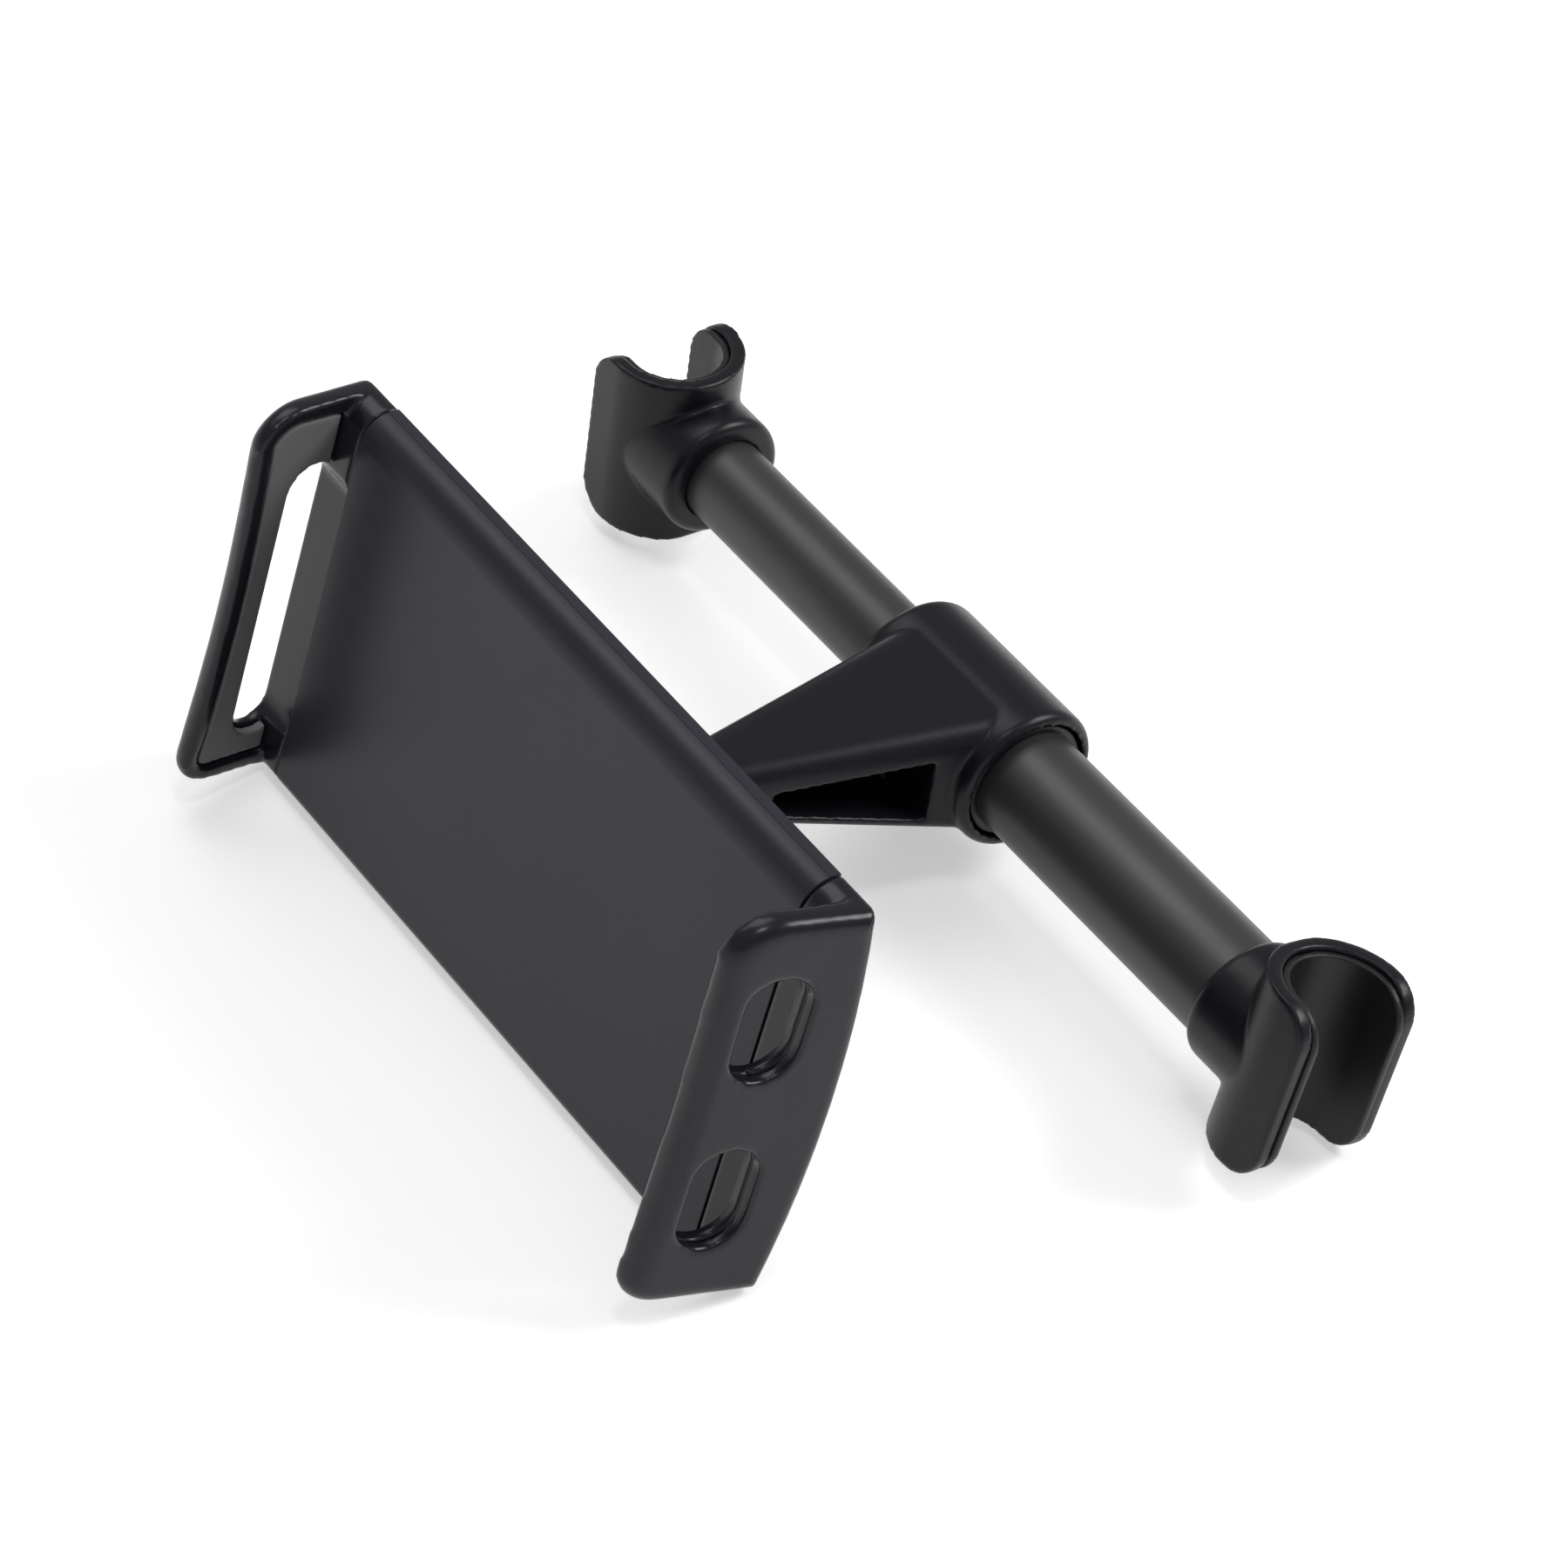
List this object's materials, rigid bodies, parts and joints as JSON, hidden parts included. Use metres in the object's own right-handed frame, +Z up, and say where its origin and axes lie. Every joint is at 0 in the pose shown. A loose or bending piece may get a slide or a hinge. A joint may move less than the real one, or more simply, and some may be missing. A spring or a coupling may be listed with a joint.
{
  "type": "headrest phone holder",
  "caption": "Headrest holder for a phone or small tablet: sprung telescopic bar with open post hooks, swinging arm, ball joint and a clamping head with sliding jaws.",
  "frame": {"origin": "on the axis of the telescopic bar, midway between the two headrest posts", "axes": "+X along the bar towards the hook on the fixed tube, +Y from the clamping head to the bar, +Z up along the headrest posts"},
  "size_m": [0.2046, 0.1256, 0.0764],
  "materials": {
    "tube": "satin",
    "hook_shell": "satin",
    "hook_rubber": "satin",
    "arm_shell": "satin",
    "ring_black": "satin",
    "head_shell": "satin",
    "jaw_shell": "satin",
    "grip_pad": "matte",
    "inner_nylon": "matte",
    "ball_steel": "polished",
    "screw_steel": "satin",
    "spring_steel": "satin"
  },
  "bodies": {
    "bar": {"outer_tube": "tube", "guide_bush": "inner_nylon", "bar_spring": "spring_steel", "tube_plug_right": "inner_nylon", "hook_right": "hook_shell", "hook_liner_right": "hook_rubber", "hook_screw_right": "screw_steel", "hub_stop_ring": "ring_black"},
    "slider": {"slide_plug": "inner_nylon"},
    "left_end": {"inner_tube": "tube", "tube_plug_left": "inner_nylon", "hook_left": "hook_shell", "hook_liner_left": "hook_rubber", "hook_screw_left": "screw_steel"},
    "hub": {"hub_arm": "arm_shell", "hub_bush": "inner_nylon", "ball_stud": "ball_steel"},
    "tilt": {"ball_seat_inner": "inner_nylon"},
    "pan": {"ball_seat_outer": "inner_nylon"},
    "head": {"back_cover": "head_shell", "front_plate": "head_shell", "cover_screws": "screw_steel", "jaw_spring": "spring_steel"},
    "nut": {"clamp_nut": "ring_black"},
    "pinion": {"pinion": "inner_nylon"},
    "jaw_l": {"jaw_left": "jaw_shell", "jaw_pad_left": "grip_pad"},
    "jaw_r": {"jaw_right": "jaw_shell", "jaw_pads_right": "grip_pad"}
  },
  "joints": [
    {"name": "bar_slide", "type": "slide", "parent": "bar", "child": "slider", "axis": [1, 0, 0], "range_m": [0, 0.05], "stiffness_N_per_m": 300, "springref_m": -0.03, "deforming": ["bar_spring"]},
    {"name": "bar_turn", "type": "hinge", "parent": "slider", "child": "left_end", "pos_m": [0, 0, 0], "axis": [1, 0, 0], "continuous": true},
    {"name": "hub_swing", "type": "hinge", "parent": "bar", "child": "hub", "pos_m": [0, 0, 0], "axis": [1, 0, 0], "range_deg": [-90, 90]},
    {"name": "ball_tilt", "type": "hinge", "parent": "hub", "child": "tilt", "pos_m": [0, -0.0705, 0], "axis": [1, 0, 0], "range_deg": [-20, 20]},
    {"name": "ball_pan", "type": "hinge", "parent": "tilt", "child": "pan", "pos_m": [0, -0.0705, 0], "axis": [0, 0, 1], "range_deg": [-20, 20]},
    {"name": "ball_roll", "type": "hinge", "parent": "pan", "child": "head", "pos_m": [0, -0.0705, 0], "axis": [0, 1, 0], "continuous": true},
    {"name": "nut_turn", "type": "hinge", "parent": "head", "child": "nut", "pos_m": [0, -0.0705, 0], "axis": [0, 1, 0], "range_deg": [0, 90]},
    {"name": "jaw_left_slide", "type": "slide", "parent": "head", "child": "jaw_l", "axis": [-1, 0, 0], "range_m": [0, 0.03], "stiffness_N_per_m": 100, "springref_m": -0.03, "deforming": ["jaw_spring"]},
    {"name": "jaw_right_slide", "type": "slide", "parent": "head", "child": "jaw_r", "axis": [1, 0, 0], "range_m": [0, 0.03]},
    {"name": "pinion_spin", "type": "hinge", "parent": "head", "child": "pinion", "pos_m": [0, -0.0887, -0.0033], "axis": [0, 1, 0], "range_deg": [-216, 0]}
  ],
  "couplings": [
    {"joint": "jaw_right_slide", "follows": "jaw_left_slide", "ratio": 1},
    {"joint": "pinion_spin", "follows": "jaw_left_slide", "rad_per_m": -125}
  ]
}
